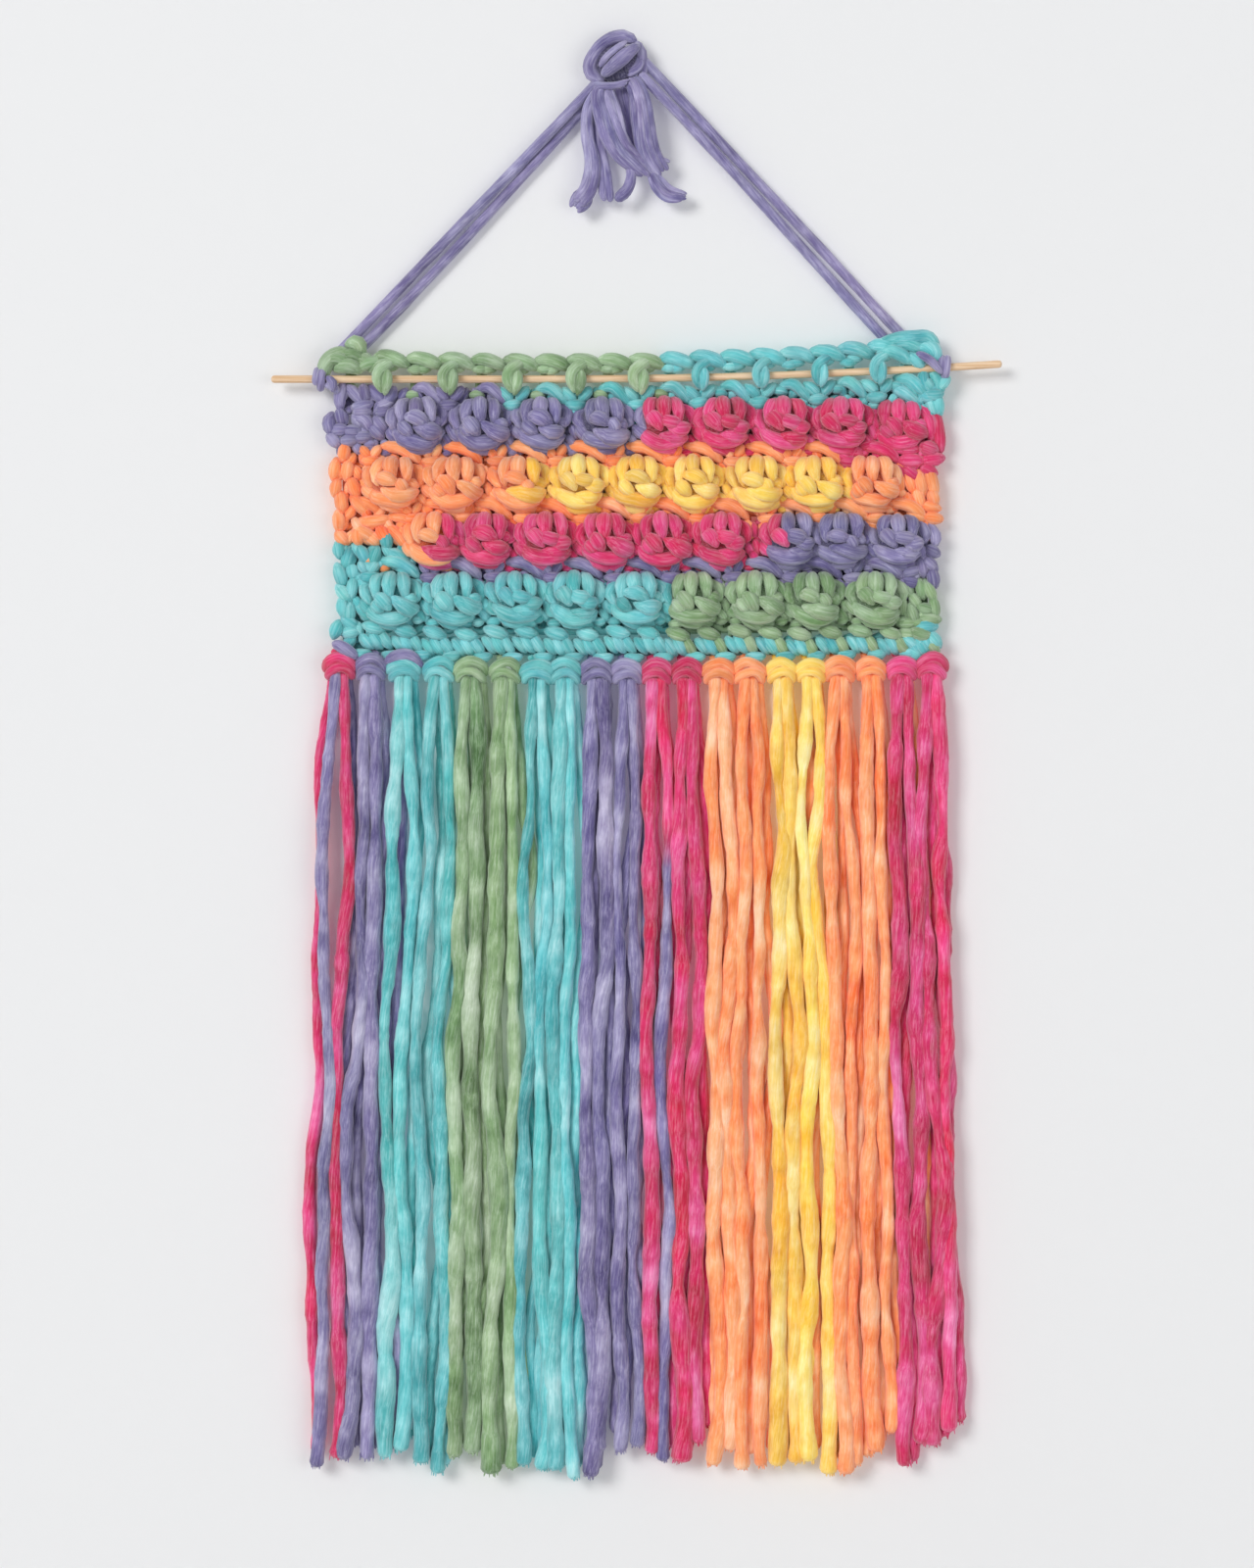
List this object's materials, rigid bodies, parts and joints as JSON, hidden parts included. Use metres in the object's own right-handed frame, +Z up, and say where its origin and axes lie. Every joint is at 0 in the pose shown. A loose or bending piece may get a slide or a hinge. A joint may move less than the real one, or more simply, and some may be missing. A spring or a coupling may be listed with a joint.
{
  "type": "crochet wall hanging on wooden dowel",
  "caption": "Crochet wall hanging of bobble stitches in rainbow self-striping yarn, with a long yarn fringe, on a thin wooden dowel with a knotted yarn hanger.",
  "frame": {"origin": "the point under the big knot where a nail or hook in the wall holds the hanging, on the wall's plane", "axes": "+Z up along the hanging, +Y into the wall, the bobbles and the knot face -Y"},
  "size_m": [0.3049, 0.0228, 0.6049],
  "materials": {
    "rainbow_yarn": "soft matte single-ply wool in stripes of teal, green, purple, magenta, orange and yellow",
    "teal_yarn": "soft matte single-ply wool",
    "purple_yarn": "soft matte single-ply wool",
    "magenta_yarn": "soft matte single-ply wool",
    "orange_yarn": "soft matte single-ply wool",
    "yellow_yarn": "soft matte single-ply wool",
    "green_yarn": "soft matte single-ply wool",
    "birch": "bare sanded birch"
  },
  "bodies": {
    "root": {"dowel": "birch", "crochet_panel": "rainbow_yarn", "fringe_01": "magenta_yarn", "fringe_02": "purple_yarn", "fringe_03": "teal_yarn", "fringe_04": "teal_yarn", "fringe_05": "green_yarn", "fringe_06": "green_yarn", "fringe_07": "teal_yarn", "fringe_08": "teal_yarn", "fringe_09": "purple_yarn", "fringe_10": "purple_yarn", "fringe_11": "magenta_yarn", "fringe_12": "magenta_yarn", "fringe_13": "orange_yarn", "fringe_14": "orange_yarn", "fringe_15": "yellow_yarn", "fringe_16": "yellow_yarn", "fringe_17": "orange_yarn", "fringe_18": "orange_yarn", "fringe_19": "magenta_yarn", "fringe_20": "magenta_yarn", "hanger_left_outer": "purple_yarn", "hanger_left_inner": "purple_yarn", "hanger_right_outer": "purple_yarn", "hanger_right_inner": "purple_yarn", "tie_left": "purple_yarn", "tie_right": "purple_yarn", "hanging_knot": "purple_yarn"}
  },
  "joints": []
}
